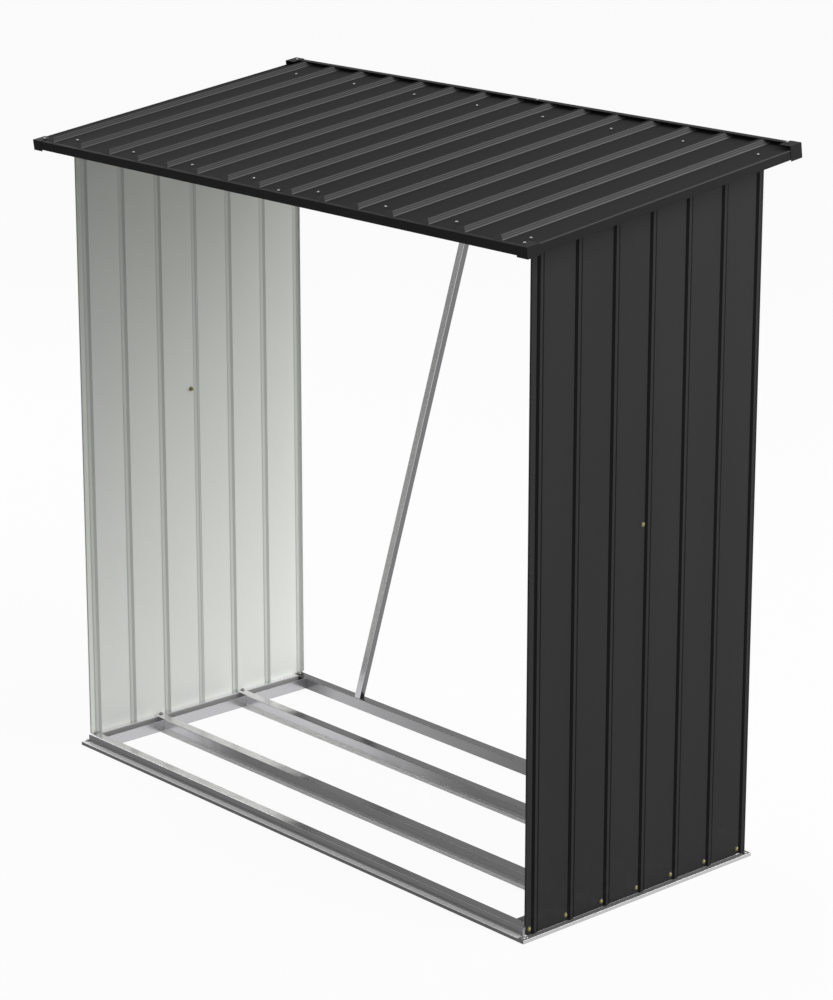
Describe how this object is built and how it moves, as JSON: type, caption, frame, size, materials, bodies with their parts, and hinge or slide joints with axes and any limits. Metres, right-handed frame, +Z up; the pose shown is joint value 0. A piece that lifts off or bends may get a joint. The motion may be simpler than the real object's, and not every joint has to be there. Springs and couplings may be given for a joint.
{
  "type": "log store",
  "caption": "Open-fronted firewood store with a low frame on the ground, ribbed sheet-metal side walls, diagonal rear braces and a single-pitch ribbed roof.",
  "frame": {"origin": "on the floor under the middle of the outline", "axes": "+X to the right along the open front, +Y from front to back, +Z up"},
  "size_m": [1.63, 0.79, 1.5877],
  "materials": {
    "galvanised_steel": "zinc-coated, satin, with a faint streak along the folds",
    "wall_sheet": "satin anthracite paint outside, pale grey back coat inside",
    "roof_sheet": "satin anthracite paint",
    "roof_trim": "satin anthracite paint"
  },
  "bodies": {
    "root": {"eave_splice": "galvanised_steel", "front_cross_rail": "galvanised_steel", "front_floor_bearer": "galvanised_steel", "front_floor_rail": "galvanised_steel", "front_left_roof_cap": "roof_trim", "front_right_roof_cap": "roof_trim", "left_eave_rail": "roof_trim", "left_floor_rail": "galvanised_steel", "left_gable_rail": "roof_trim", "left_ridge_rail": "roof_trim", "left_top_rail": "galvanised_steel", "left_wall_front_sheet": "wall_sheet", "left_wall_rear_sheet": "wall_sheet", "rear_cross_rail": "galvanised_steel", "rear_floor_bearer": "galvanised_steel", "rear_floor_rail": "galvanised_steel", "rear_left_brace": "galvanised_steel", "rear_left_roof_cap": "roof_trim", "rear_right_brace": "galvanised_steel", "rear_right_roof_cap": "roof_trim", "ridge_splice": "galvanised_steel", "right_eave_rail": "roof_trim", "right_floor_rail": "galvanised_steel", "right_gable_rail": "roof_trim", "right_ridge_rail": "roof_trim", "right_top_rail": "galvanised_steel", "right_wall_front_sheet": "wall_sheet", "right_wall_rear_sheet": "wall_sheet", "roof_sheet_1": "roof_sheet", "roof_sheet_2": "roof_sheet", "roof_sheet_3": "roof_sheet", "roof_sheet_4": "roof_sheet", "roof_sheet_5": "roof_sheet", "roof_sheet_6": "roof_sheet", "roof_sheet_7": "roof_sheet"}
  },
  "joints": []
}
